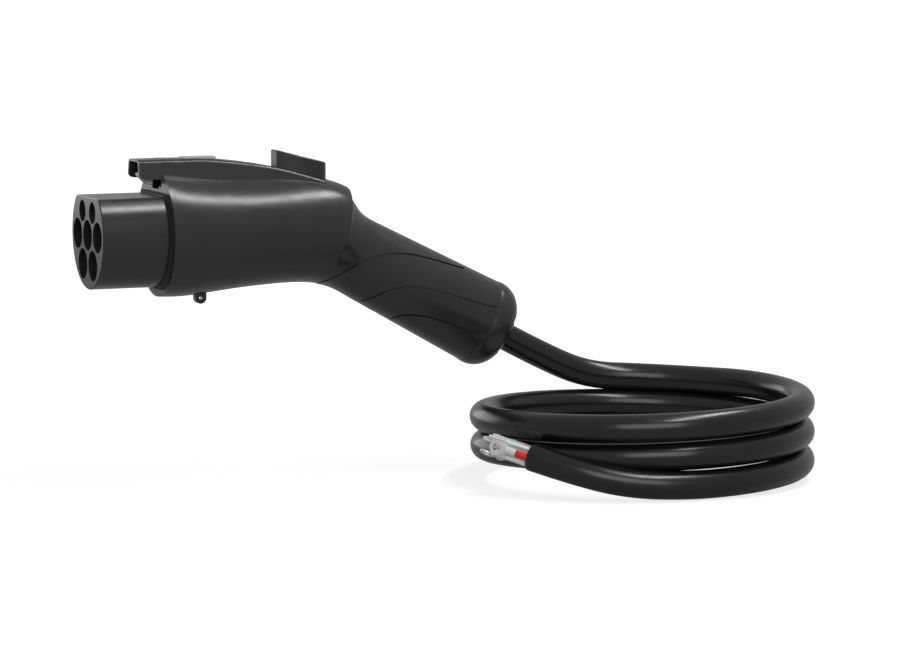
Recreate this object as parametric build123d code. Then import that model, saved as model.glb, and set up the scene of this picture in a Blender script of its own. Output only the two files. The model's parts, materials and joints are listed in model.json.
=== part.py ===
"""Electric-vehicle charging plug: seven-pin connector, latched pistol handle and coiled cable.

Frame: millimetres, X along the nose axis from the mating face back into the handle, +Z up.
The origin is the centre of the nose's front face.  The handle droops below the X axis at
grip_slope, and everything inside it is placed by (s, t): s along the grip axis, measured from
the middle of the end face, and t square to it, upwards.
"""
from build123d import *
import math
import os

os.makedirs("parts", exist_ok=True)

# ---------------------------------------------------------------- clearances and common walls
seat_fit = 0.03          # pieces that are pressed or moulded in
pivot_fit = 0.08         # the latch on its pin
close_fit = 0.1          # pieces that are screwed or dropped together
running_gap = 0.35       # pieces that slide or swing past each other
shell_wall = 2.8
tunnel_wall = 1.5

# ---------------------------------------------------------------- nose (contact insulator)
nose_radius = 27.75
nose_flat_height = 19.6
nose_corner = 4.0
nose_length = 62.0
nose_edge = 0.5
nose_rear_step = 2.2
flange_lip = 1.75
flange_start = 42.5
flange_thickness = 3.8
cavity_depth = 42.0
power_cavity_radius = 7.8
signal_cavity_radius = 5.5
contact_pitch = 17.3
lower_row_height = -15.0
upper_row_height = 12.05
side_row = contact_pitch / 2

# ---------------------------------------------------------------- contacts
power_pin_radius = 3.0
signal_pin_radius = 1.5
pin_recess = 8.0
pin_root_step = 0.4
collar_length = 4.0
collar_lip = 1.6
crimp_radius = 3.4
signal_crimp_radius = 2.0
crimp_length = 10.0
crimp_hole_depth = 6.0
retainer_thickness = 4.0
retainer_screw_places = [(0.0, 13.0), (18.2, -10.5), (-18.2, -10.5)]
retainer_screw_length = 30.0

# ---------------------------------------------------------------- screws
screw_radius = 1.5
screw_head_radius = 2.75
screw_head_height = 2.2
socket_depth = 1.2
socket_width = 2.0
boss_radius = 3.4

# ---------------------------------------------------------------- barrel of the handle
shell_front = 36.4
seal_front = 34.4
seal_lip_radius = 31.3
seal_low_edge = -28.4
seal_high_edge = 20.9
seal_depth = 3.4
# centre X, centre Z, tilt from vertical, radius
barrel_stations = [
    (shell_front, 0.0, 0.0, 32.7),
    (60.0, -1.2, 0.0, 30.7),
    (82.0, -0.4, 0.0, 29.1),
    (104.0, 0.1, 0.0, 28.2),
    (118.1, -0.9, 8.2, 27.5),
    (130.85, -4.05, 18.7, 26.35),
]
shoulder_stations = [
    (134.25, -8.05, 19.3, 23.5),
    (138.25, -11.5, 20.5, 21.6),
    (142.3, -14.3, 22.9, 20.7),
    (146.6, -16.7, 26.0, 20.6),
]

# ---------------------------------------------------------------- grip
grip_slope = 28.0
end_centre_x = 225.5
end_centre_z = -57.5
grip_axis_drop = -1.05
grip_neck_s = -72.0
grip_neck_radius = 21.15
grip_blend_s = [-84.0, -79.0, -74.0, -69.0, -64.0]
grip_end_s = -14.0
grip_end_radius = 22.9
groove_width = 0.8
groove_depth = 0.6
# side grooves, each a curve of (X, Z) in the side view
groove_curves = [
    [(121.9, -28.4), (129.8, -23.5), (136.8, -19.3), (144.6, -15.5), (152.9, -13.8),
     (161.6, -13.5), (179.1, -16.7), (202.0, -23.4)],
    [(145.4, -38.8), (154.4, -33.5), (160.8, -31.1), (168.5, -30.5), (176.6, -31.9),
     (192.8, -36.7), (215.7, -43.5)],
    [(162.2, -48.9), (165.3, -46.7), (169.8, -46.2), (174.8, -46.6), (189.4, -51.0),
     (208.3, -56.8)],
]

# ---------------------------------------------------------------- latch tunnel and button
tunnel_front = 24.8
tunnel_skirt = 28.1
tunnel_skirt_radius = 3.0
tunnel_half_width = 10.7
tunnel_draft = 0.22
tunnel_edge = 2.4
tunnel_floor = 8.0
# X and height of the tunnel's ridge
ridge_stations = [(tunnel_front, 38.0), (44.0, 38.0), (52.0, 38.0), (60.0, 37.8), (68.0, 37.1),
                  (76.0, 36.2), (84.0, 35.1), (92.0, 33.8), (100.0, 32.2), (108.0, 30.1),
                  (116.0, 27.7), (124.0, 25.2)]
slot_half_width = 5.3
slot_floor = 22.8
badge_start = 50.0
badge_length = 18.0
badge_width = 9.0
badge_height = 0.7
badge_sunk = 0.4

button_front = 100.3
button_rear = 128.2
button_half_width = 8.0
button_nose_half_width = 4.5
button_top_front = 41.0
button_top_rear = 33.7
button_base_front = 28.2
button_base_rear = 20.4
button_edge = 0.6
button_travel = 3.6
press_x = 104.0
press_radius = 3.0
press_gap = 0.3

# ---------------------------------------------------------------- latch
pivot_x = 72.0
pivot_z = 29.5
pivot_radius = 1.5
pivot_half_length = 8.6
pivot_cheek = 4.5
lever_half_width = 4.0
lever_hub_radius = 3.6
lever_top = 31.0
lever_bottom = 28.4
lever_rear = 107.0
lever_rear_top = 25.6
lever_rear_thickness = 3.0
hook_front = 27.0
hook_tip_x = 31.8
hook_tip_z = 25.2
hook_back = 33.6

spring_x = 118.5
spring_radius = 3.4
spring_wire = 0.5
spring_turns = 6
spring_seat = 8.0
spring_seat_thickness = 2.0
spring_end_gap = 0.1

# ---------------------------------------------------------------- switch and resistor board
switch_front = 80.0
switch_length = 13.0
switch_half_width = 3.2
switch_floor = 15.0
switch_top = 20.8
plunger_x = 86.0
plunger_radius = 1.2
plunger_depth = 4.0
plunger_gap = 0.3
pad_front = 80.5
pad_length = 12.0
pad_floor = 13.6
pad_top = 19.5
board_width = 6.5
board_thickness = 1.2

# ---------------------------------------------------------------- cable inside the grip
cable_radius = 7.25
cable_axis_t = -2.0
core_radius = 1.7
core_ring = 4.25
signal_core_radius = 1.0
jacket_start_s = -62.0
cable_split_s = -12.0
core_turn_x = 90.0
core_turn_s = -92.0

# ---------------------------------------------------------------- end cap, seal and clamp
end_disc_radius = 16.7
end_cap_bulge = 2.6
spigot_length = 12.0
spigot_groove_s = -22.2
spigot_groove_length = 2.4
spigot_groove_depth = 1.4
seal_radius = 13.0
seal_end_s = -9.0
cap_mouth_radius = 8.4
notch_count = 6
notch_first = 35.0
notch_width = 4.0
notch_depth = 2.4
clamp_s = -56.0
clamp_length = 9.0
clamp_strap = 2.4
clamp_ear = 16.0
clamp_screw_t = 12.8

# ---------------------------------------------------------------- tether eyelet under the barrel
eyelet_x = 59.6
eyelet_z = -34.2
eyelet_radius = 3.0
eyelet_hole = 0.9
eyelet_half_width = 2.0

# shell screws: (X, Z) in the barrel, then (s, t) in the grip
barrel_screw_places = [(75.0, -23.4), (128.5, 9.0)]
grip_screw_places = [(-74.0, 13.4), (-35.0, -14.6)]
screw_head_inset = 10.0

# ---------------------------------------------------------------- free cable
coil_x = 271.0
coil_y = -83.6
coil_radius = 81.6
coil_top = -83.5
coil_tilt = 2.55
coil_foot = -128.2
coil_edge = 6.0
# the lead's points from the handle, down and into the top turn of the coil
lead_route = [(251.0, 0.0, -73.6), (276.0, -1.0, -84.0), (303.0, -6.5, -85.5), (328.0, -22.5, -86.5)]
lead_split = 0.28        # place of the joint between lead and coil on the route's second run
# the last stretch, which leaves the lowest turn and climbs its outside to the cut end
tail_route = [(262.0, -165.0, -121.0), (231.6, -158.5, -119.5), (207.3, -146.0, -113.2),
              (190.3, -126.2, -106.8)]

# ---------------------------------------------------------------- cut end of the cable
jacket_thickness = 1.2
jacket_bore_depth = 4.0
tail_lengths = {"line_1": 10.0, "line_2": 16.0, "line_3": 10.0, "neutral": 16.0, "earth": 17.0}
tail_signal_length = 12.0
lug_barrel_radius = 2.05
lug_barrel_length = 5.5
lug_palm_radius = 3.7
lug_palm_thickness = 0.9
lug_hole_radius = 2.1
lug_palm_reach = 5.2
ferrule_radius = 0.8
ferrule_length = 10.0
tail_clearance = 10.5

# ---------------------------------------------------------------- worked-out values
slope = math.radians(grip_slope)
along = Vector(math.cos(slope), 0, -math.sin(slope))
upward = Vector(math.sin(slope), 0, math.cos(slope))
end_centre = Vector(end_centre_x, 0, end_centre_z)
flange_end = flange_start + flange_thickness
bore_floor = cavity_depth
rib_end = flange_end + 2.6

power_contacts = {
    "earth": (0.0, 0.0),
    "line_1": (contact_pitch, 0.0),
    "neutral": (-contact_pitch, 0.0),
    "line_2": (side_row, lower_row_height),
    "line_3": (-side_row, lower_row_height),
}
signal_contacts = {
    "pilot": (side_row, upper_row_height),
    "proximity": (-side_row, upper_row_height),
}


def grip_point(s, t=0.0, y=0.0):
    """A point of the grip: s along its axis, t upwards, y to the side."""
    return end_centre + along * s + upward * t + Vector(0, y, 0)


def grip_plane(s, t=grip_axis_drop):
    """A plane square to the grip axis, its local x along +Y and its local z towards the cable."""
    return Plane(origin=grip_point(s, t), x_dir=(0, 1, 0), z_dir=along)


def face_across(x, y=0.0, z=0.0):
    """A plane square to X, its local x along +Y and its local z along +X."""
    return Plane(origin=(x, y, z), x_dir=(0, 1, 0), z_dir=(1, 0, 0))


def side_plane(y=0.0):
    """The plane of the side view at y: local x along X, local y along Z, local z along -Y."""
    return Plane(origin=(0, y, 0), x_dir=(1, 0, 0), z_dir=(0, -1, 0))


def rod_x(x0, x1, y, z, radius):
    return extrude(face_across(x0, y, z) * Circle(radius), amount=x1 - x0)


def rod_y(x, z, y0, y1, radius):
    plane = Plane(origin=(x, y0, z), x_dir=(1, 0, 0), z_dir=(0, 1, 0))
    return extrude(plane * Circle(radius), amount=y1 - y0)


def rod_z(x, y, z0, z1, radius):
    return extrude(Plane.XY.offset(z0) * Pos(x, y) * Circle(radius), amount=z1 - z0)


def block(x0, x1, y0, y1, z0, z1):
    return Pos((x0 + x1) / 2, (y0 + y1) / 2, (z0 + z1) / 2) * Box(x1 - x0, y1 - y0, z1 - z0)


def grip_rod(s0, s1, t, radius):
    """A round bar along the grip."""
    return extrude(grip_plane(s0, t) * Circle(radius), amount=s1 - s0)


def grip_block(s0, s1, y0, y1, t0, t1):
    plane = grip_plane(s0, (t0 + t1) / 2)
    return extrude(plane * Pos((y0 + y1) / 2, 0) * Rectangle(y1 - y0, t1 - t0), amount=s1 - s0)


# ================================================================ housing
def station_circle(station, inset):
    x, z, tilt, radius = station
    turn = math.radians(tilt)
    plane = Plane(origin=(x, 0, z), x_dir=(0, 1, 0), z_dir=(math.cos(turn), 0, -math.sin(turn)))
    return plane * Circle(radius - inset)


def barrel_body(inset=0.0):
    return loft([station_circle(station, inset) for station in barrel_stations])


def grip_circle(s, inset):
    """A section of the grip's cone, which widens evenly from its neck to its end."""
    widening = (grip_end_radius - grip_neck_radius) / (grip_end_s - grip_neck_s)
    return grip_plane(s) * Circle(grip_neck_radius + (s - grip_neck_s) * widening - inset)


def grip_body(inset=0.0):
    """The shoulder that turns down out of the barrel, and the conical grip."""
    sections = [station_circle(station, inset) for station in [barrel_stations[-1]] + shoulder_stations]
    sections += [grip_circle(s, inset) for s in grip_blend_s]
    return loft(sections) + loft([grip_circle(grip_blend_s[-1], inset), grip_circle(grip_end_s, inset)])


def half_width_at(z):
    return tunnel_half_width - (z - tunnel_skirt) * tunnel_draft


def ridge_section(x, top, floor, inset):
    """Tunnel section: leaning sides with rounded upper edges."""
    low, high = half_width_at(floor) - inset, half_width_at(top) - inset
    top -= inset
    outline = Polygon((-low, floor), (low, floor), (high, top), (-high, top), align=None)
    upper = outline.vertices().sort_by(Axis.Y)[-2:]
    return face_across(x) * fillet(upper, max(tunnel_edge - inset, 0.5))


def ridge_body():
    """The ridge behind the front face; its floor is buried in the barrel."""
    stations = [(shell_front, ridge_stations[0][1])] + ridge_stations[1:]
    return loft([ridge_section(x, top, tunnel_floor, 0.0) for x, top in stations])


def tunnel_hood():
    """The open-bottomed hood that reaches ahead of the front face over the hook."""
    front, top = ridge_stations[0]
    hood = extrude(ridge_section(front, top, tunnel_skirt, 0.0), amount=shell_front + 1 - front)
    corner = side_plane() * Pos(front, tunnel_skirt) * Rectangle(
        tunnel_skirt_radius, tunnel_skirt_radius, align=(Align.MIN, Align.MIN))
    corner -= side_plane() * Pos(front + tunnel_skirt_radius, tunnel_skirt + tunnel_skirt_radius) * Circle(
        tunnel_skirt_radius)
    return hood - extrude(corner, amount=tunnel_half_width * 2, both=True)


def tunnel_void():
    """The space in which the latch lever swings, open at the front."""
    stations = [(tunnel_front - 1, ridge_stations[0][1])] + ridge_stations[1:]
    return loft([ridge_section(x, top, tunnel_skirt - 4, tunnel_wall) for x, top in stations[:-1]])


def nose_section(growth=0.0):
    """The nose's section: a circle with a flat top and rounded corners."""
    radius, flat = nose_radius + growth, nose_flat_height + growth
    cut = Pos(0, flat) * Rectangle(4 * radius, 2 * radius, align=(Align.CENTER, Align.MIN))
    outline = Circle(radius) - cut
    corners = outline.vertices().sort_by(Axis.Y)[-2:]
    return fillet(corners, nose_corner)


def seal_section(growth=0.0):
    """Outline of the seal: a circle cut off below the nose and above its flat."""
    radius = seal_lip_radius + growth
    band = Pos(0, (seal_low_edge + seal_high_edge) / 2) * Rectangle(
        4 * radius, seal_high_edge - seal_low_edge + 2 * growth)
    return Circle(radius) & band


def nose_seat():
    """Everything the nose, its flange and its seal take out of the housing's front."""
    seat = extrude(face_across(shell_front - 1) * nose_section(close_fit),
                   amount=rib_end + 2 - shell_front)
    seat += extrude(face_across(flange_start - close_fit) * nose_section(flange_lip + close_fit),
                    amount=flange_thickness + 2 * close_fit)
    seat += extrude(face_across(shell_front - 1) * seal_section(0.05), amount=1 + seal_depth + 0.05)
    return seat


def groove_tool(points):
    """A thin wall along a side-view curve, as deep as the groove over the grip's surface."""
    line = Spline(*[Vector(x, z) for x, z in points])
    strip = extrude(side_plane() * trace(line, line_width=groove_width), amount=40, both=True)
    return strip


def button_plan(growth=0.0):
    """The button seen from above: narrow front, full round rear."""
    front, rear = button_front - growth, button_rear + growth
    wide, narrow = button_half_width + growth, button_nose_half_width + growth
    rear_centre = rear - wide
    outline = [
        Line((front, -narrow), (front, narrow)),
        ThreePointArc((front, narrow), ((front + rear_centre) / 2 - 4, wide - 0.9), (rear_centre, wide)),
        ThreePointArc((rear_centre, wide), (rear, 0), (rear_centre, -wide)),
        ThreePointArc((rear_centre, -wide), ((front + rear_centre) / 2 - 4, 0.9 - wide), (front, -narrow)),
    ]
    return make_face(Curve() + outline)


def housing_outside():
    body = barrel_body() + grip_body() + ridge_body() + tunnel_hood()
    body += rod_y(eyelet_x, eyelet_z, -eyelet_half_width, eyelet_half_width, eyelet_radius)
    body += block(eyelet_x - eyelet_radius, eyelet_x + eyelet_radius, -eyelet_half_width,
                  eyelet_half_width, eyelet_z, eyelet_z + 4)
    body -= rod_y(eyelet_x, eyelet_z, -5, 5, eyelet_hole)
    return body


def housing_voids():
    ahead = block(0, rib_end, -60, 60, -60, 60)
    void = (barrel_body(shell_wall) - ahead) + grip_body(shell_wall)
    void += tunnel_void()
    void += block(tunnel_front - 1, rib_end + 1, -slot_half_width, slot_half_width,
                  slot_floor, tunnel_skirt + 2)
    return void


def inner_supports():
    """Ribs, bosses and seats that stand inside the housing, before it is cut in half."""
    reach = 60.0
    parts = []
    for x, z in barrel_screw_places:
        parts.append(rod_y(x, z, -reach, reach, boss_radius))
    for s, t in grip_screw_places:
        centre = grip_point(s, t)
        parts.append(rod_y(centre.X, centre.Z, -reach, reach, boss_radius))
    for side in (-1, 1):
        y0, y1 = sorted((side * pivot_cheek, side * reach))
        parts.append(rod_y(pivot_x, pivot_z, y0, y1, pivot_radius + 1.9))
        y0, y1 = sorted((side * (switch_half_width + close_fit), side * reach))
        parts.append(block(pad_front, pad_front + pad_length, y0, y1, pad_floor, pad_top))
    parts.append(block(pad_front, pad_front + pad_length, -reach, reach,
                       pad_floor, switch_floor - close_fit))
    seat_half = spring_radius + 3.0
    parts.append(block(spring_x - seat_half, spring_x + seat_half, -reach, reach,
                       spring_seat - spring_seat_thickness, spring_seat))
    collar = grip_rod(spigot_groove_s + close_fit, spigot_groove_s + spigot_groove_length - close_fit,
                      grip_axis_drop, reach)
    collar -= grip_rod(spigot_groove_s - 1, spigot_groove_s + spigot_groove_length + 1,
                       grip_axis_drop, spigot_groove_radius() + close_fit)
    parts.append(collar)
    cradle = grip_block(clamp_s, clamp_s + clamp_length, close_fit, reach,
                        cable_axis_t - clamp_ear, cable_axis_t + clamp_ear)
    cradle -= grip_rod(clamp_s - 1, clamp_s + clamp_length + 1, cable_axis_t, cable_radius + close_fit)
    parts.append(cradle)
    return parts


def spigot_radius():
    return grip_end_radius - shell_wall - 0.9


def spigot_groove_radius():
    return spigot_radius() - spigot_groove_depth


def make_housing():
    """The two half shells, split on the handle's middle plane."""
    outside = housing_outside()
    shell = outside - housing_voids()
    for support in inner_supports():
        shell += (support & outside)
    shell -= nose_seat()
    shell -= block(tunnel_front - 2, pivot_x + 12, -pivot_cheek, pivot_cheek, lever_bottom - 2,
                   ridge_stations[1][1] - tunnel_wall - 1.6)
    shell -= extrude(Plane.XY.offset(button_base_rear - 8) * button_plan(running_gap), amount=40)
    badge_floor = ridge_stations[0][1] - badge_sunk
    shell -= block(badge_start - close_fit, badge_start + badge_length + close_fit,
                   -badge_width / 2 - close_fit, badge_width / 2 + close_fit, badge_floor, badge_floor + 5)
    skin = (barrel_body() + grip_body()) - (barrel_body(groove_depth) + grip_body(groove_depth))
    for points in groove_curves:
        shell -= groove_tool(points) & skin
    shell -= rod_y(pivot_x, pivot_z, -pivot_half_length - close_fit, pivot_half_length + close_fit,
                   pivot_radius + 0.03)
    for x, z, head_y in shell_screw_axes():
        shell -= rod_y(x, z, -8, 60, screw_radius + close_fit)
        shell -= rod_y(x, z, head_y - screw_head_height, 60, screw_head_radius + 0.3)
    for t in (-clamp_screw_t, clamp_screw_t):
        centre = grip_point(clamp_s + clamp_length / 2, cable_axis_t + t)
        shell -= rod_y(centre.X, centre.Z, 0, 9, screw_radius + 0.02)
    left = shell & block(0, 260, -60, 0, -120, 60)
    right = shell & block(0, 260, 0, 60, -120, 60)
    return left, right


def shell_screw_axes():
    """X, Z and the outer face of the head for each screw that closes the shells."""
    axes = []
    for x, z in barrel_screw_places:
        axes.append((x, z, screw_head_inset))
    for s, t in grip_screw_places:
        centre = grip_point(s, t)
        axes.append((centre.X, centre.Z, screw_head_inset - 1))
    return axes


# ================================================================ nose and contacts
def make_nose():
    """The nose with its seven open cavities, and the contact block that closes them behind."""
    nose = extrude(face_across(0) * nose_section(), amount=rib_end + 0.5)
    rim = nose.edges().group_by(Axis.X)[0]
    nose = chamfer(rim, nose_edge)
    nose += extrude(face_across(0) * nose_section(-nose_rear_step), amount=nose_length)
    nose += extrude(face_across(flange_start) * nose_section(flange_lip), amount=flange_thickness)
    for name, (y, z) in {**power_contacts, **signal_contacts}.items():
        power = name in power_contacts
        cavity = power_cavity_radius if power else signal_cavity_radius
        pin = power_pin_radius if power else signal_pin_radius
        nose -= rod_x(-1, cavity_depth, y, z, cavity)
        nose -= rod_x(cavity_depth - 1, nose_length + 1, y, z, pin + pin_root_step + seat_fit)
        nose -= rod_x(nose_length - collar_length, nose_length + 1, y, z, pin + collar_lip + seat_fit)
    for y, z in retainer_screw_places:
        tip = retainer_screw_head() - screw_head_height - retainer_screw_length
        nose -= rod_x(tip - 0.2, nose_length + 1, y, z, screw_radius + 0.02)
    front = nose & block(-1, cavity_depth, -60, 60, -60, 60)
    rear = nose & block(cavity_depth + seat_fit, nose_length + 1, -60, 60, -60, 60)
    return front, rear


def make_pin(place, radius, crimp):
    """A turned contact: rounded tip, shank, collar and a drilled crimp barrel."""
    y, z = place
    root = radius + pin_root_step
    collar_start = nose_length - collar_length
    profile = Polyline(
        (pin_recess, 0), (pin_recess, radius * 0.55), (pin_recess + radius * 0.6, radius),
        (cavity_depth, radius), (cavity_depth, root), (collar_start, root),
        (collar_start, radius + collar_lip), (nose_length, radius + collar_lip),
        (nose_length, crimp), (nose_length + retainer_thickness + crimp_length, crimp),
        (nose_length + retainer_thickness + crimp_length, 0), close=True)
    plane = Plane(origin=(0, y, z), x_dir=(1, 0, 0), z_dir=(0, -1, 0))
    pin = revolve(plane * make_face(profile), axis=Axis((0, y, z), (1, 0, 0)))
    end = nose_length + retainer_thickness + crimp_length
    return pin - rod_x(end - crimp_hole_depth, end + 1, y, z, crimp - 0.9)


def make_retainer():
    start = nose_length + 0.05
    plate = extrude(face_across(start) * nose_section(-nose_rear_step), amount=retainer_thickness)
    for name, (y, z) in {**power_contacts, **signal_contacts}.items():
        crimp = crimp_radius if name in power_contacts else signal_crimp_radius
        plate -= rod_x(start - 1, start + retainer_thickness + 1, y, z, crimp + close_fit)
    for y, z in retainer_screw_places:
        plate -= rod_x(start - 1, start + retainer_thickness + 1, y, z, screw_radius + close_fit)
    return plate


def make_seal():
    """Soft ring between nose and housing; its front slopes back from the nose."""
    thickness = shell_front + seal_depth - seal_front
    ring = extrude(face_across(seal_front) * seal_section(), amount=thickness)
    ring -= extrude(face_across(seal_front - 1) * nose_section(0.03), amount=thickness + 2)
    slope_tool = Plane(origin=(0, 0, 0), x_dir=(1, 0, 0), z_dir=(0, -1, 0)) * make_face(Polyline(
        (seal_front - 1, nose_radius + 0.4), (seal_front, nose_radius + 0.4),
        (shell_front - 0.2, seal_lip_radius), (shell_front - 0.2, 40), (seal_front - 1, 40), close=True))
    return ring - revolve(slope_tool, axis=Axis.X)


# ================================================================ screws
def screw(length):
    """A socket-head screw along -Z, its head's top at the origin."""
    body = extrude(Circle(screw_head_radius), amount=-screw_head_height)
    body += extrude(Plane.XY.offset(-screw_head_height) * Circle(screw_radius), amount=-length)
    body -= extrude(RegularPolygon(socket_width / 2, 6), amount=-socket_depth)
    return body


def retainer_screw_head():
    return nose_length + 0.05 + retainer_thickness + screw_head_height


def make_retainer_screws():
    """Long screws that pull the retainer, the contact block and the nose together."""
    return [Plane(origin=(retainer_screw_head(), y, z), x_dir=(0, 1, 0), z_dir=(1, 0, 0))
            * screw(retainer_screw_length) for y, z in retainer_screw_places]


def make_shell_screws():
    return [Plane(origin=(x, head_y, z), x_dir=(1, 0, 0), z_dir=(0, 1, 0)) * screw(head_y + 5.0)
            for x, z, head_y in shell_screw_axes()]


def make_clamp_screws():
    screws = []
    for t in (-clamp_screw_t, clamp_screw_t):
        centre = grip_point(clamp_s + clamp_length / 2, cable_axis_t + t)
        head = Plane(origin=(centre.X, -clamp_strap - screw_head_height, centre.Z),
                     x_dir=(1, 0, 0), z_dir=(0, -1, 0))
        screws.append(head * screw(10.0))
    return screws


# ================================================================ latch
def lever_rear_bottom():
    return lever_rear_top - lever_rear_thickness


def make_lever():
    """Rocking lever: sloped hook in front, hub at the pivot, press pad at the rear."""
    outline = Polyline(
        (hook_front, lever_top), (hook_front, lever_bottom + 1.2), (hook_tip_x - 0.4, hook_tip_z),
        (hook_back, hook_tip_z), (hook_back, lever_bottom), (pivot_x + 5, lever_bottom),
        (press_x - 5, lever_rear_bottom()), (lever_rear, lever_rear_bottom()),
        (lever_rear, lever_rear_top), (press_x - 4, lever_rear_top),
        (pivot_x + 6, lever_top), close=True)
    half = extrude(side_plane() * make_face(outline), amount=lever_half_width, both=True)
    lever = half + rod_y(pivot_x, pivot_z, -lever_half_width, lever_half_width, lever_hub_radius)
    return lever - rod_y(pivot_x, pivot_z, -lever_half_width - 1, lever_half_width + 1,
                         pivot_radius + pivot_fit)


def make_pivot_pin():
    return rod_y(pivot_x, pivot_z, -pivot_half_length, pivot_half_length, pivot_radius)


def button_base_at(x):
    share = (x - button_front) / (button_rear - button_front)
    return button_base_front + (button_base_rear - button_base_front) * share


def make_button():
    """Push button: flat-topped wedge with a press rib for the lever and a spring pocket."""
    column = extrude(Plane.XY.offset(0) * button_plan(), amount=60)
    side = side_plane() * make_face(Polyline(
        (button_front - 5, button_base_front + 1.45), (button_front, button_base_front),
        (button_rear, button_base_rear), (button_rear + 5, button_base_rear),
        (button_rear + 5, button_top_rear - 1.365), (button_front - 5, button_top_front + 1.365),
        close=True))
    button = column & extrude(side, amount=30, both=True)
    button = chamfer(button.faces().sort_by(Axis.Z)[-1].edges(), button_edge)
    rib_centre = lever_rear_top + press_gap + press_radius
    rib = rod_y(press_x, rib_centre, -3.5, 3.5, press_radius)
    rib += block(press_x - press_radius, press_x + press_radius, -3.5, 3.5, rib_centre, rib_centre + 2)
    button += rib
    pocket_top = spring_top()
    return button - rod_z(spring_x, 0, 0, pocket_top, spring_radius + spring_wire + running_gap)


def spring_top():
    return button_base_at(spring_x) + 3.0


def make_spring():
    """Compression spring between the seat in the housing and the button's pocket."""
    low = spring_seat + spring_end_gap + spring_wire
    high = spring_top() - spring_end_gap - spring_wire
    pitch = (high - low) / spring_turns
    path = Pos(spring_x, 0, low) * Helix(pitch=pitch, height=high - low, radius=spring_radius)
    section = Plane(origin=path @ 0, z_dir=path % 0) * Circle(spring_wire)
    return sweep(section, path=path, is_frenet=True)


# ================================================================ switch and board
def make_switch():
    body = block(switch_front, switch_front + switch_length, -switch_half_width, switch_half_width,
                 switch_floor, switch_top)
    body = chamfer(body.edges().filter_by(Axis.Y), 0.5)
    return body - rod_z(plunger_x, 0, switch_top - plunger_depth - 0.6, switch_top + 1,
                        plunger_radius + 0.3)


def lever_underside_at(x):
    """Height of the lever's sloping underside behind the pivot."""
    x0, x1 = pivot_x + 5, press_x - 5
    return lever_bottom + (lever_rear_bottom() - lever_bottom) * (x - x0) / (x1 - x0)


def make_plunger():
    top = lever_underside_at(plunger_x + plunger_radius) - plunger_gap
    stem = rod_z(plunger_x, 0, switch_top - 2.2, top, plunger_radius)
    return chamfer(stem.faces().sort_by(Axis.Z)[-1].edges(), 0.3)


def make_board():
    """Coding-resistor board with its two resistors, lying on the right shell's pad."""
    y0 = switch_half_width + 1.8
    low = pad_top + 0.05
    board = block(pad_front + 0.5, pad_front + pad_length - 0.5, y0, y0 + board_width,
                  low, low + board_thickness)
    for x in (pad_front + 4, pad_front + 10):
        board += rod_y(x, low + board_thickness + 0.6, y0 + 1, y0 + 4.6, 0.9)
    return board


# ================================================================ badge, end cap, seal, clamp
def make_badge():
    top = ridge_stations[0][1]
    plate = block(badge_start, badge_start + badge_length, -badge_width / 2, badge_width / 2,
                  top - badge_sunk + 0.02, top + badge_height)
    plate = fillet(plate.edges().filter_by(Axis.Z), 2.0)
    return chamfer(plate.faces().sort_by(Axis.Z)[-1].edges(), 0.25)


def make_end_cap():
    """Turned end cap: rounded shoulder, flat end with notches, spigot held by the shells."""
    groove_end = spigot_groove_s + spigot_groove_length
    spigot = spigot_radius()
    shoulder = grip_end_radius
    mid_s = grip_end_s * 0.45
    mid_radius = (shoulder + end_disc_radius) / 2 + end_cap_bulge
    start = grip_end_s + 0.05
    outline = [
        Line((start - spigot_length, 0), (start - spigot_length, spigot)),
        Line((start - spigot_length, spigot), (spigot_groove_s, spigot)),
        Line((spigot_groove_s, spigot), (spigot_groove_s, spigot_groove_radius())),
        Line((spigot_groove_s, spigot_groove_radius()), (groove_end, spigot_groove_radius())),
        Line((groove_end, spigot_groove_radius()), (groove_end, spigot)),
        Line((groove_end, spigot), (start, spigot)),
        Line((start, spigot), (start, shoulder)),
        ThreePointArc((start, shoulder), (mid_s, mid_radius), (0, end_disc_radius)),
        Line((0, end_disc_radius), (0, 0)),
        Line((0, 0), (start - spigot_length, 0)),
    ]
    profile_plane = Plane(origin=grip_point(0, grip_axis_drop), x_dir=along, z_dir=(0, -1, 0))
    axis = Axis(grip_point(0, grip_axis_drop), along)
    cap = revolve(profile_plane * make_face(Curve() + outline), axis=axis)
    cap -= grip_rod(start - spigot_length - 1, seal_end_s, cable_axis_t, seal_radius + 0.05)
    cap -= grip_rod(seal_end_s - 1, 1, cable_axis_t, cap_mouth_radius)
    notch = extrude(grip_plane(-notch_depth) * Pos(end_disc_radius, 0) * Rectangle(
        notch_width, notch_width), amount=notch_depth + 1)
    for k in range(notch_count):
        cap -= notch.rotate(axis, notch_first + k * 360 / notch_count)
    return cap


def make_cable_seal():
    start = grip_end_s - spigot_length + 0.05
    seal = grip_rod(start, seal_end_s - 0.05, cable_axis_t, seal_radius)
    return seal - grip_rod(start - 1, seal_end_s + 1, cable_axis_t, cable_radius + 0.05)


def make_clamp():
    """Saddle over the cable, screwed to the right shell's cradle through its two ears."""
    s0, s1 = clamp_s, clamp_s + clamp_length
    outer = cable_radius + close_fit + clamp_strap
    saddle = grip_rod(s0, s1, cable_axis_t, outer)
    saddle += grip_block(s0, s1, -clamp_strap, 0, cable_axis_t - clamp_ear, cable_axis_t + clamp_ear)
    saddle -= grip_rod(s0 - 1, s1 + 1, cable_axis_t, cable_radius + 0.05)
    saddle = saddle & grip_block(s0 - 1, s1 + 1, -30, 0, -40, 40)
    for t in (-clamp_screw_t, clamp_screw_t):
        centre = grip_point(s0 + clamp_length / 2, cable_axis_t + t)
        saddle -= rod_y(centre.X, centre.Z, -12, 2, screw_radius + close_fit)
    return saddle


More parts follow.
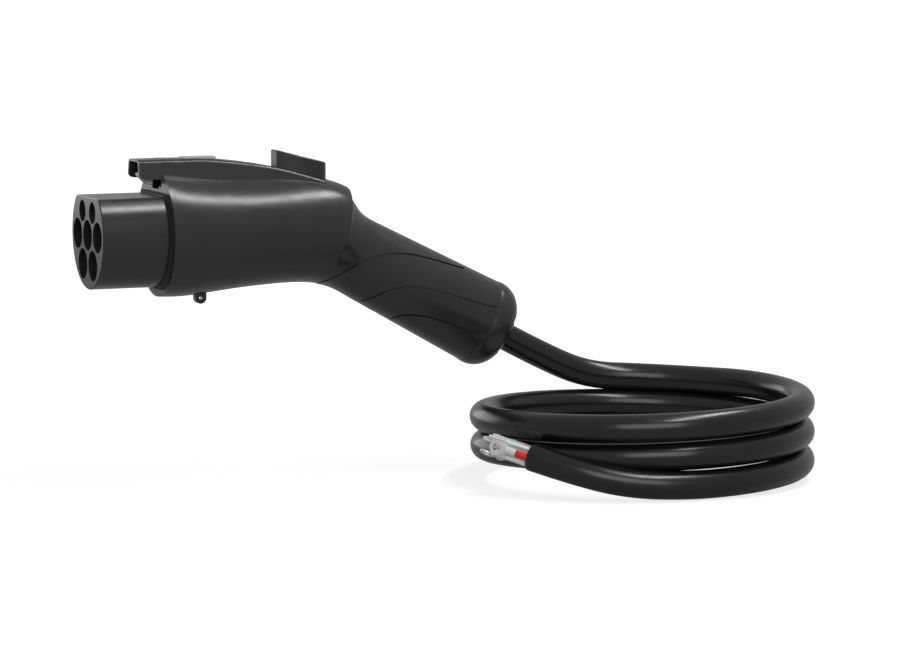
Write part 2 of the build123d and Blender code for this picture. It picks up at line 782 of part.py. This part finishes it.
# ================================================================ cable inside the handle
def bundle_angle(name):
    """Where a core of the outer layer lies, in degrees from +Y towards the top."""
    ring = ["line_1", "pilot", "proximity", "neutral", "line_3", "line_2"]
    return 60.0 * ring.index(name)


def bundle_offset(name):
    """Where each core lies in the cable: (towards +Y, upwards) from the cable's axis."""
    if name == "earth":
        return 0.0, 0.0
    turn = math.radians(bundle_angle(name))
    return core_ring * math.cos(turn), core_ring * math.sin(turn)


def sweep_round(points, radius, bends):
    """A round bar along straight runs joined by tangent arcs."""
    path = FilletPolyline(*points, radius=bends)
    section = Plane(origin=path @ 0, z_dir=path % 0) * Circle(radius)
    return sweep(section, path=path), path.length


def bend_radii(points):
    """For each inner point, the arc that uses 0.45 of its shorter run."""
    radii = []
    for before, corner, after in zip(points, points[1:], points[2:]):
        into, out = corner - before, after - corner
        half_turn = math.radians(into.get_angle(out)) / 2
        radii.append(0.45 * min(into.length, out.length) / math.tan(half_turn))
    return radii


def make_core(name, place, radius):
    """One insulated core from its crimp barrel to the cable's jacket."""
    y, z = place
    side, up = bundle_offset(name)
    start = nose_length + retainer_thickness + crimp_length + 0.05
    points = [Vector(start, y, z), Vector(core_turn_x, y, z),
              grip_point(core_turn_s, cable_axis_t + up, side),
              grip_point(jacket_start_s, cable_axis_t + up, side)]
    bar, _ = sweep_round(points, radius, bend_radii(points))
    return bar


def make_inner_cable():
    return grip_rod(jacket_start_s + 0.05, cable_split_s, cable_axis_t, cable_radius)


# ================================================================ free cable
def lead_points():
    start = grip_point(cable_split_s, cable_axis_t) + along * 0.05
    return [start] + [Vector(*p) for p in lead_route]


def make_free_cable():
    """The lead, and the coil as one solid of its outer shape with the lead's and the tail's stretches."""
    points = lead_points()
    radii = bend_radii(points)
    tube, length = sweep_round(points, cable_radius, radii)
    section = math.pi * cable_radius ** 2
    print("lead radii", [round(r, 1) for r in radii], "volume ratio", tube.volume / (section * length))
    split_point = points[1] + (points[2] - points[1]) * (0.5 + lead_split / 2)
    split = Plane(origin=split_point, z_dir=points[2] - points[1])
    side = 400.0
    ahead = extrude(split * Rectangle(side, side), amount=side)
    lead = tube - ahead
    beyond = tube & ahead
    lead_room, _ = sweep_round(points, cable_radius + running_gap, radii)

    ring_low, ring_high = coil_foot, coil_top + 20
    ring_face = Plane(origin=(coil_x, coil_y, 0), x_dir=(1, 0, 0), z_dir=(0, -1, 0)) * (
        Pos(coil_radius, (ring_low + ring_high) / 2) * RectangleRounded(
            2 * cable_radius, ring_high - ring_low, coil_edge))
    ring = revolve(ring_face, axis=Axis((coil_x, coil_y, 0), (0, 0, 1)))
    top = Plane(origin=(coil_x, coil_y, coil_top), x_dir=(1, 0, math.tan(math.radians(coil_tilt))),
                z_dir=(-math.sin(math.radians(coil_tilt)), 0, math.cos(math.radians(coil_tilt))))
    ring -= extrude(top * Rectangle(side, side), amount=60)
    tail_points = [Vector(*p) for p in tail_route]
    tail_radii = bend_radii(tail_points)
    print("tail radii", [round(r, 1) for r in tail_radii])
    tail, _ = sweep_round(tail_points, cable_radius, tail_radii)
    end = tail_end_plane()
    ring -= lead_room - ahead
    ring -= extrude(end * Circle(tail_clearance), amount=40)
    coil = ring + beyond + tail
    coil -= extrude(end * Circle(cable_radius - jacket_thickness), amount=-jacket_bore_depth)
    return lead, coil


# ================================================================ cut end
def tail_end_plane():
    """At the cable's cut end, its local z along the cable and outwards."""
    last = Vector(*tail_route[-1])
    direction = last - Vector(*tail_route[-2])
    across = Vector(0, 0, 1).cross(direction).normalized()
    return Plane(origin=last, x_dir=across, z_dir=direction)


def make_tail_core(name):
    side, up = bundle_offset(name)
    power = name in power_contacts
    radius = core_radius if power else signal_core_radius
    length = tail_lengths[name] if power else tail_signal_length
    start = tail_end_plane().offset(-jacket_bore_depth + 0.05)
    return extrude(start * Pos(side, up) * Circle(radius), amount=length + jacket_bore_depth)


def make_lug(name):
    """Crimped ring lug: barrel over the core's end, flat palm facing outwards from the bundle."""
    centre = 0.0 if name == "earth" else core_ring
    turn = 90.0 if name == "earth" else bundle_angle(name)
    frame = tail_end_plane().offset(tail_lengths[name] - lug_barrel_length + 0.05)
    place = frame * Rot(0, 0, turn)
    barrel = Pos(centre, 0) * Cylinder(lug_barrel_radius, lug_barrel_length + 0.6,
                                       align=(Align.CENTER, Align.CENTER, Align.MIN))
    barrel -= Pos(centre, 0) * Cylinder(core_radius + 0.03, lug_barrel_length,
                                        align=(Align.CENTER, Align.CENTER, Align.MIN))
    neck_half = lug_barrel_radius * 0.8
    palm_face = centre + lug_barrel_radius - lug_palm_thickness
    palm_plane = Plane(origin=(palm_face, 0, lug_barrel_length), x_dir=(0, 1, 0), z_dir=(1, 0, 0))
    palm = palm_plane * Pos(0, lug_palm_reach) * Circle(lug_palm_radius)
    palm += palm_plane * Pos(0, lug_palm_reach / 2) * Rectangle(2 * neck_half, lug_palm_reach)
    palm -= palm_plane * Pos(0, lug_palm_reach) * Circle(lug_hole_radius)
    return place * (barrel + extrude(palm, amount=lug_palm_thickness))


def make_ferrule(name):
    side, up = bundle_offset(name)
    start = tail_end_plane().offset(tail_signal_length + 0.05)
    return extrude(start * Pos(side, up) * Circle(ferrule_radius), amount=ferrule_length)


# ================================================================ all nodes
def build():
    nodes = {}
    nodes["left_shell"], nodes["right_shell"] = make_housing()
    nodes["connector_nose"], nodes["contact_block"] = make_nose()
    nodes["nose_seal"] = make_seal()
    nodes["pin_retainer"] = make_retainer()
    for name, place in power_contacts.items():
        nodes["pin_" + name] = make_pin(place, power_pin_radius, crimp_radius)
        nodes["core_" + name] = make_core(name, place, core_radius)
        nodes["tail_core_" + name] = make_tail_core(name)
    for name, place in signal_contacts.items():
        nodes["pin_" + name] = make_pin(place, signal_pin_radius, signal_crimp_radius)
        nodes["core_" + name] = make_core(name, place, signal_core_radius)
        nodes["tail_core_" + name] = make_tail_core(name)
    nodes["retainer_screws"] = make_retainer_screws()
    nodes["shell_screws"] = make_shell_screws()
    nodes["clamp_screws"] = make_clamp_screws()
    nodes["latch_lever"] = make_lever()
    nodes["pivot_pin"] = make_pivot_pin()
    nodes["push_button"] = make_button()
    nodes["return_spring"] = make_spring()
    nodes["switch_body"] = make_switch()
    nodes["switch_plunger"] = make_plunger()
    nodes["resistor_board"] = make_board()
    nodes["badge_plate"] = make_badge()
    nodes["end_cap"] = make_end_cap()
    nodes["cable_seal"] = make_cable_seal()
    nodes["cable_clamp"] = make_clamp()
    nodes["cable_inner"] = make_inner_cable()
    nodes["cable_lead"], nodes["cable_coil"] = make_free_cable()
    nodes["ring_lugs"] = [make_lug(name) for name in power_contacts]
    nodes["pin_ferrules"] = [make_ferrule(name) for name in signal_contacts]
    return nodes


for node, shape in build().items():
    if isinstance(shape, list):
        shape = Compound(children=shape)
    export_step(shape, f"parts/{node}.step")
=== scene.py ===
"""Looks of the electric-vehicle charging plug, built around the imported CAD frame.

Everything is in metres in the CAD's own frame: X runs along the nose axis from the mating face
back into the handle, and +Z is up.  Lengths that the CAD gives in millimetres are multiplied by MM.
"""
import json
import math

import bmesh
import bpy
from mathutils import Matrix, Vector


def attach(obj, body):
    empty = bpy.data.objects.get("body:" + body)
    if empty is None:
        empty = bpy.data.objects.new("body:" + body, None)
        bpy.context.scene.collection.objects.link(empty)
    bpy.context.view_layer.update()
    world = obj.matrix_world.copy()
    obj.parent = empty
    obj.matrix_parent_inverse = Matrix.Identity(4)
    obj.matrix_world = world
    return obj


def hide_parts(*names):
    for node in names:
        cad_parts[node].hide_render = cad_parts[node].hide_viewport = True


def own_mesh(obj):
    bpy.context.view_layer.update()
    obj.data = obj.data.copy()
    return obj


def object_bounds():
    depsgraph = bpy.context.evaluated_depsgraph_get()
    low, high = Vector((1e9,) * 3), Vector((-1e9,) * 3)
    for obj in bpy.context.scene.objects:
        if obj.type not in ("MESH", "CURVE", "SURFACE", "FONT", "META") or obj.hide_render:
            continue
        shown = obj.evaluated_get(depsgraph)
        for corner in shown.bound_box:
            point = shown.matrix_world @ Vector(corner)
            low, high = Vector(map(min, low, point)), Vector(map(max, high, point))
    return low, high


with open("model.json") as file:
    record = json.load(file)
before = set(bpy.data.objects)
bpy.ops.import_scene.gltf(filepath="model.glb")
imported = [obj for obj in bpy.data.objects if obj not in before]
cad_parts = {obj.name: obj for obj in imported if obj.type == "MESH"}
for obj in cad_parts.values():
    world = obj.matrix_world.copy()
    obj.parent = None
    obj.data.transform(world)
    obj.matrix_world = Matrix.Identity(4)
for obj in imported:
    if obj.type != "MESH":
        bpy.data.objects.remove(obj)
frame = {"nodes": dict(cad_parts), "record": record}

cad_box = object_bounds()
MM = 0.001
nodes = frame["nodes"]
scene = bpy.context.scene

# ---------------------------------------------------------------- driving values, as in the CAD
CABLE_RADIUS = 7.25 * MM
JACKET_THICKNESS = 1.2 * MM
GRIP_SLOPE = math.radians(28.0)
END_CENTRE = Vector((225.5, 0.0, -57.5)) * MM
CABLE_AXIS_T = -2.0 * MM
CABLE_SPLIT_S = -12.0 * MM
COIL_CENTRE = Vector((271.0, -83.6, 0.0)) * MM
COIL_RADIUS = 81.6 * MM
COIL_TOP = -83.5 * MM
LEAD_ROUTE = [(251.0, 0.0, -73.6), (276.0, -1.0, -84.0), (303.0, -6.5, -85.5), (328.0, -22.5, -86.5)]
TAIL_ROUTE = [(262.0, -165.0, -121.0), (231.6, -158.5, -119.5), (207.3, -146.0, -113.2),
              (190.3, -126.2, -106.8)]

# ---------------------------------------------------------------- the cable, in the scene alone
# The jacket ends a little before the CAD tube, and one turn gives way to the cut end beside it.
POINTS_PER_TURN = 16
COIL_PITCH = 14.9 * MM
CUT_BACK = 2.4 * MM
TUCK_DEPTH = 4.9 * MM
TUCK_TURN = 1.62
TUCK_SPAN = 0.11

# ---------------------------------------------------------------- surfaces, in object coordinates
DRIFT_SCALE = 38.0
GLOSS_SCALE = 140.0
GLOSS_SPREAD = 0.02
GRAIN_SCALE = 1800.0
GRAIN_DEPTH = 0.00005
MARKS_SCALE = 900.0
MARKS_STRENGTH = 0.12
WORN_SHARE = 0.88
RAMP_LOW = 0.35
RAMP_HIGH = 0.65

# ---------------------------------------------------------------- stage
FLOOR_HALF = 6.0
FLOOR_GAP = 0.0002
FLOOR_MIDDLE = (0.18, -0.06)
FLOOR_GREY = 0.32
FLOOR_FADE = (0.25, 1.0)
FLOOR_GLOW = (0.78, 1.0)
SURROUND_LIGHT = 0.40
LAMP_AIM = Vector((0.18, -0.04, -0.05))
CAMERA_AIM = Vector((0.2, -0.04, -0.06))
CAMERA_DISTANCE = 2.32931
CAMERA_SHIFT_RIGHT = 0.01682
CAMERA_SHIFT_UP = -0.00972
CAMERA_AZIMUTH = math.radians(-21.12)
CAMERA_ELEVATION = math.radians(6.14)
CAMERA_ROLL = math.radians(-0.18)

ALONG = Vector((math.cos(GRIP_SLOPE), 0.0, -math.sin(GRIP_SLOPE)))
UPWARD = Vector((math.sin(GRIP_SLOPE), 0.0, math.cos(GRIP_SLOPE)))


def grip_point(s, t=0.0):
    """A point of the grip: s along its axis from the end face, t square to it, upwards."""
    return END_CENTRE + ALONG * s + UPWARD * t


# ================================================================ materials
def new_material(name):
    """An empty node material: its shader is linked to the output and ready for its inputs."""
    material = bpy.data.materials.new(name)
    material.use_nodes = True
    tree = material.node_tree
    tree.nodes.clear()
    output = tree.nodes.new("ShaderNodeOutputMaterial")
    shader = tree.nodes.new("ShaderNodeBsdfPrincipled")
    tree.links.new(shader.outputs["BSDF"], output.inputs["Surface"])
    return material, tree, shader


def noise(tree, scale, detail, roughness=0.5, stretch=(1.0, 1.0, 1.0)):
    """Noise in object coordinates, so that it stays on the surface when a body moves."""
    place = tree.nodes.new("ShaderNodeTexCoord")
    stretched = tree.nodes.new("ShaderNodeMapping")
    stretched.inputs["Scale"].default_value = stretch
    texture = tree.nodes.new("ShaderNodeTexNoise")
    texture.inputs["Scale"].default_value = scale
    texture.inputs["Detail"].default_value = detail
    texture.inputs["Roughness"].default_value = roughness
    tree.links.new(place.outputs["Object"], stretched.inputs["Vector"])
    tree.links.new(stretched.outputs["Vector"], texture.inputs["Vector"])
    return texture.outputs["Fac"]


def ramp(tree, source, low, high):
    """Two colours or grey levels spread over a texture's middle range."""
    node = tree.nodes.new("ShaderNodeValToRGB")
    node.color_ramp.elements[0].position = RAMP_LOW
    node.color_ramp.elements[1].position = RAMP_HIGH
    node.color_ramp.elements[0].color = (*low, 1.0)
    node.color_ramp.elements[1].color = (*high, 1.0)
    tree.links.new(source, node.inputs["Fac"])
    return node.outputs["Color"]


def bump(tree, height, strength):
    """A shading normal from a height texture."""
    node = tree.nodes.new("ShaderNodeBump")
    node.inputs["Strength"].default_value = strength
    node.inputs["Distance"].default_value = GRAIN_DEPTH
    tree.links.new(height, node.inputs["Height"])
    return node.outputs["Normal"]


def grey(level):
    return (level, level, level)


def plastic(name, colour, roughness=0.38, grain_strength=0.035, tint=0.05):
    """Moulded plastic or rubber: faint colour drift, uneven gloss and a fine eroded grain."""
    material, tree, shader = new_material(name)
    drift = noise(tree, DRIFT_SCALE, 4.0)
    darker = tuple(c * (1.0 - tint) for c in colour)
    lighter = tuple(min(c * (1.0 + tint), 1.0) for c in colour)
    tree.links.new(ramp(tree, drift, darker, lighter), shader.inputs["Base Color"])
    gloss = noise(tree, GLOSS_SCALE, 5.0, 0.6)
    smoother, rougher = grey(roughness - GLOSS_SPREAD), grey(roughness + GLOSS_SPREAD)
    tree.links.new(ramp(tree, gloss, smoother, rougher), shader.inputs["Roughness"])
    grain = noise(tree, GRAIN_SCALE, 2.0, 0.6)
    tree.links.new(bump(tree, grain, grain_strength), shader.inputs["Normal"])
    return material


def metal(name, colour, roughness=0.3, brushed=(1.0, 1.0, 1.0), metallic=1.0):
    """Plated or turned metal: fine drawn marks along one direction and uneven gloss."""
    material, tree, shader = new_material(name)
    shader.inputs["Metallic"].default_value = metallic
    marks = noise(tree, MARKS_SCALE, 4.0, stretch=brushed)
    worn = tuple(c * WORN_SHARE for c in colour)
    tree.links.new(ramp(tree, marks, worn, colour), shader.inputs["Base Color"])
    smoother, rougher = grey(roughness - 0.08), grey(roughness + 0.1)
    tree.links.new(ramp(tree, marks, smoother, rougher), shader.inputs["Roughness"])
    tree.links.new(bump(tree, marks, MARKS_STRENGTH), shader.inputs["Normal"])
    return material


def make_materials():
    """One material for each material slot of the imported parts."""
    return {
        "housing_plastic": plastic("housing_plastic", grey(0.022), 0.24),
        "nose_plastic": plastic("nose_plastic", grey(0.023), 0.20),
        "button_plastic": plastic("button_plastic", grey(0.019), 0.36),
        # The seal ring at the nose's base is near black, far below the housing's grey. It fills the
        # gap between nose and shell rim, so its black is partly the rubber's own and partly painted
        # shade of that gap.
        "seal_rubber": plastic("seal_rubber", grey(0.003), 0.6, grain_strength=0.08),
        "cable_jacket": plastic("cable_jacket", grey(0.007), 0.23, grain_strength=0.01),
        "latch_nylon": plastic("latch_nylon", grey(0.80), 0.40, tint=0.04),
        "badge_plastic": plastic("badge_plastic", grey(0.46), 0.35, tint=0.04),
        "board_laminate": plastic("board_laminate", (0.02, 0.15, 0.06), 0.4),
        "core_red": plastic("core_red", (0.78, 0.012, 0.012), 0.34, tint=0.05),
        "core_white": plastic("core_white", grey(0.80), 0.36, tint=0.03),
        "core_grey": plastic("core_grey", grey(0.45), 0.36, tint=0.05),
        "core_green": plastic("core_green", (0.25, 0.62, 0.48), 0.36, tint=0.05),
        "contact_silver": metal("contact_silver", (0.72, 0.70, 0.66), 0.28, (1.0, 12.0, 12.0)),
        "screw_steel": metal("screw_steel", grey(0.55), 0.34),
        "tinned_lug": metal("tinned_lug", grey(0.86), 0.4, metallic=0.55),
    }


materials = make_materials()
slot_of_node = {part["node"]: part["material_slot"] for part in frame["record"]["subparts"]}


def dress_cad_nodes():
    """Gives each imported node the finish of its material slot."""
    for name, item in nodes.items():
        item.data.materials.clear()
        item.data.materials.append(materials[slot_of_node[name]])


dress_cad_nodes()


# ================================================================ return spring
def squeeze_spring():
    """The return spring stands on its seat in the housing; here it only gets a mesh of its own."""
    spring = nodes["return_spring"]
    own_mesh(spring)


squeeze_spring()


# ================================================================ cable
def coil_point(turn):
    """A control point of the coil, turn 0 at its back, going down and clockwise from above."""
    angle = math.radians(90.0) - turn * math.tau
    tuck = TUCK_DEPTH * math.exp(-((turn - TUCK_TURN) / TUCK_SPAN) ** 2)
    reach = (COIL_RADIUS - tuck) / math.cos(math.pi / POINTS_PER_TURN)
    return COIL_CENTRE + Vector((math.cos(angle) * reach, math.sin(angle) * reach,
                                 COIL_TOP - COIL_PITCH * turn))


def turn_of(point, whole_turns):
    """How far round the coil a point of the route lies, counted in turns from the coil's back."""
    offset = Vector(point) * MM - COIL_CENTRE
    return whole_turns + (math.pi / 2 - math.atan2(offset.y, offset.x)) / math.tau % 1.0


def cable_points():
    """The cable's control points, from the cap's mouth through the coil to the cut end."""
    exit_point = grip_point(CABLE_SPLIT_S, CABLE_AXIS_T)
    points = [exit_point] + [Vector(p) * MM for p in LEAD_ROUTE]
    first, last = turn_of(LEAD_ROUTE[-1], 0), turn_of(TAIL_ROUTE[0], 2)
    steps = round((last - first) * POINTS_PER_TURN)
    points += [coil_point(first + (last - first) * k / steps) for k in range(1, steps)]
    return points + [Vector(p) * MM for p in TAIL_ROUTE[:-1]] + [cut_end()]


def cable_run_out():
    """The cable's direction at its cut end, not scaled to length one."""
    return (Vector(TAIL_ROUTE[-1]) - Vector(TAIL_ROUTE[-2])) * MM


def cut_end():
    """The jacket is cut back a little from the CAD tube's end, so that more of the cores shows."""
    return Vector(TAIL_ROUTE[-1]) * MM - cable_run_out().normalized() * CUT_BACK


def make_cable():
    """The whole jacket as one round NURBS curve, in place of the solids of lead and coil."""
    points = cable_points()
    curve = bpy.data.curves.new("charging_cable", "CURVE")
    curve.dimensions = "3D"
    curve.resolution_u = 10
    curve.bevel_depth = CABLE_RADIUS
    curve.bevel_resolution = 12
    spline = curve.splines.new("NURBS")
    spline.points.add(len(points) - 1)
    for control, point in zip(spline.points, points):
        control.co = (*point, 1.0)
    spline.order_u = 3
    spline.use_endpoint_u = True
    spline.use_smooth = True
    cable = bpy.data.objects.new("charging_cable", curve)
    scene.collection.objects.link(cable)
    curve.materials.append(materials["cable_jacket"])
    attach(cable, "housing")
    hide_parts("cable_lead", "cable_coil")
    return cable


def lathe(name, profile, plane, segments, material):
    """A turned mesh: profile of (radius, height) pairs about the plane's local z axis."""
    mesh = bmesh.new()
    rings = []
    for radius, height in profile:
        ring = []
        for k in range(segments):
            angle = math.tau * k / segments
            ring.append(mesh.verts.new(plane @ Vector((radius * math.cos(angle),
                                                       radius * math.sin(angle), height))))
        rings.append(ring)
    for lower, upper in zip(rings, rings[1:]):
        for k in range(segments):
            after = (k + 1) % segments
            mesh.faces.new((lower[k], lower[after], upper[after], upper[k]))
    mesh.faces.new(reversed(rings[0]))
    for face in mesh.faces:
        face.smooth = True
    bmesh.ops.recalc_face_normals(mesh, faces=mesh.faces)
    data = bpy.data.meshes.new(name)
    mesh.to_mesh(data)
    mesh.free()
    data.materials.append(material)
    item = bpy.data.objects.new(name, data)
    scene.collection.objects.link(item)
    return item


def frame_at(origin, direction):
    """A matrix whose local z runs along direction and whose local x stays level."""
    z = direction.normalized()
    x = Vector((0, 0, 1)).cross(z).normalized()
    y = z.cross(x)
    turn = Matrix((x, y, z)).transposed().to_4x4()
    return Matrix.Translation(origin) @ turn


def make_jacket_end():
    """The cut jacket: a flat rim with a hair of rounding, and the bore that the cores come out of."""
    plane = frame_at(cut_end(), cable_run_out())
    outer, inner = CABLE_RADIUS + 0.02 * MM, CABLE_RADIUS - JACKET_THICKNESS
    bore_depth, sleeve_length, rim_height = 5.0 * MM, 3.0 * MM, 0.05 * MM
    inner_edge, outer_edge = 0.1 * MM, 0.25 * MM
    profile = [(0.2 * inner, -bore_depth), (inner, -bore_depth), (inner, -inner_edge),
               (inner + inner_edge, rim_height), (outer - outer_edge, rim_height),
               (outer, rim_height - outer_edge), (outer, -sleeve_length)]
    rim = lathe("jacket_end", profile, plane, 48, materials["cable_jacket"])
    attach(rim, "housing")
    return rim


cable = make_cable()
jacket_end = make_jacket_end()


# ================================================================ stage, lights and camera
def seen_directly(tree, glossy_share):
    """1 where the camera or a glass ray looks, glossy_share where a mirror ray looks, else 0."""
    path = tree.nodes.new("ShaderNodeLightPath")
    direct = tree.nodes.new("ShaderNodeMath")
    direct.operation = "MAXIMUM"
    tree.links.new(path.outputs["Is Camera Ray"], direct.inputs[0])
    tree.links.new(path.outputs["Is Transmission Ray"], direct.inputs[1])
    mirrored = tree.nodes.new("ShaderNodeMath")
    mirrored.operation = "MULTIPLY_ADD"
    mirrored.inputs[1].default_value = glossy_share
    tree.links.new(path.outputs["Is Glossy Ray"], mirrored.inputs[0])
    tree.links.new(direct.outputs[0], mirrored.inputs[2])
    return mirrored.outputs[0]


def make_floor():
    """Pale floor that keeps a soft contact shadow and fades to pure white away from the object."""
    level = cad_box[0][2] - FLOOR_GAP
    mesh = bmesh.new()
    signs = ((-1, -1), (1, -1), (1, 1), (-1, 1))
    mesh.faces.new([mesh.verts.new((x * FLOOR_HALF, y * FLOOR_HALF, level)) for x, y in signs])
    data = bpy.data.meshes.new("floor")
    mesh.to_mesh(data)
    mesh.free()
    material, tree, shader = new_material("floor_white")
    shader.inputs["Base Color"].default_value = (*grey(FLOOR_GREY), 1.0)
    shader.inputs["Roughness"].default_value = 0.9
    shader.inputs["Specular IOR Level"].default_value = 0.0
    place = tree.nodes.new("ShaderNodeTexCoord")
    away = tree.nodes.new("ShaderNodeVectorMath")
    away.operation = "DISTANCE"
    away.inputs[1].default_value = (*FLOOR_MIDDLE, level)
    tree.links.new(place.outputs["Object"], away.inputs[0])
    fade = tree.nodes.new("ShaderNodeMapRange")
    fade.interpolation_type = "SMOOTHSTEP"
    fade.inputs["From Min"].default_value, fade.inputs["From Max"].default_value = FLOOR_FADE
    fade.inputs["To Min"].default_value, fade.inputs["To Max"].default_value = FLOOR_GLOW
    tree.links.new(away.outputs["Value"], fade.inputs["Value"])
    glow = tree.nodes.new("ShaderNodeMath")
    glow.operation = "MULTIPLY"
    tree.links.new(fade.outputs["Result"], glow.inputs[0])
    tree.links.new(seen_directly(tree, 0.12), glow.inputs[1])
    shader.inputs["Emission Color"].default_value = (1.0, 1.0, 1.0, 1.0)
    tree.links.new(glow.outputs[0], shader.inputs["Emission Strength"])
    data.materials.append(material)
    floor = bpy.data.objects.new("floor", data)
    scene.collection.objects.link(floor)


def make_world():
    """Dim grey surround for light, pure white where the camera or glass looks at it."""
    world = bpy.data.worlds.new("studio")
    scene.world = world
    world.use_nodes = True
    tree = world.node_tree
    tree.nodes.clear()
    output = tree.nodes.new("ShaderNodeOutputWorld")
    backgrounds = []
    for strength in (SURROUND_LIGHT, 1.0):
        background = tree.nodes.new("ShaderNodeBackground")
        background.inputs["Color"].default_value = (1.0, 1.0, 1.0, 1.0)
        background.inputs["Strength"].default_value = strength
        backgrounds.append(background)
    mix = tree.nodes.new("ShaderNodeMixShader")
    tree.links.new(seen_directly(tree, 0.0), mix.inputs["Fac"])
    tree.links.new(backgrounds[0].outputs[0], mix.inputs[1])
    tree.links.new(backgrounds[1].outputs[0], mix.inputs[2])
    tree.links.new(mix.outputs[0], output.inputs["Surface"])


def area_light(name, direction, distance, size, brightness):
    """A soft box in a direction from the object, brightness being the radiance of its face."""
    data = bpy.data.lights.new(name, "AREA")
    data.shape = "RECTANGLE"
    data.size, data.size_y = size
    data.energy = brightness * math.pi * size[0] * size[1]
    lamp = bpy.data.objects.new(name, data)
    lamp.location = LAMP_AIM + Vector(direction).normalized() * distance
    lamp.rotation_euler = (LAMP_AIM - lamp.location).to_track_quat("-Z", "Y").to_euler()
    scene.collection.objects.link(lamp)


def make_lights():
    """A long strip overhead for the gloss band, a panel behind and a soft fill in front."""
    area_light("overhead_strip", (0.358, -0.21, 0.91), 1.4, (1.5, 0.16), 15.0)
    area_light("rear_left_panel", (-0.358, 0.927, 0.12), 2.0, (1.4, 0.9), 1.3)
    area_light("front_fill", (-0.25, -0.9, 0.42), 2.2, (1.6, 1.2), 2.4)


def make_camera():
    """Front-left and slightly above, nearly without perspective."""
    level_reach = math.cos(CAMERA_ELEVATION)
    back = Vector((math.sin(CAMERA_AZIMUTH) * level_reach, -math.cos(CAMERA_AZIMUTH) * level_reach,
                   math.sin(CAMERA_ELEVATION)))
    level = Vector((math.cos(CAMERA_AZIMUTH), math.sin(CAMERA_AZIMUTH), 0.0))
    upright = back.cross(level)
    right = level * math.cos(CAMERA_ROLL) + upright * math.sin(CAMERA_ROLL)
    up = upright * math.cos(CAMERA_ROLL) - level * math.sin(CAMERA_ROLL)
    place = CAMERA_AIM + back * CAMERA_DISTANCE - right * CAMERA_SHIFT_RIGHT - up * CAMERA_SHIFT_UP
    turn = Matrix((right, up, back)).transposed().to_4x4()
    data = bpy.data.cameras.new("camera")
    data.sensor_width = 36.0
    data.lens = 180.0
    data.clip_end = 20.0
    camera = bpy.data.objects.new("camera", data)
    camera.matrix_world = Matrix.Translation(place) @ turn
    scene.collection.objects.link(camera)
    scene.camera = camera


make_floor()
make_world()
make_lights()
make_camera()
scene.view_settings.view_transform = "Standard"
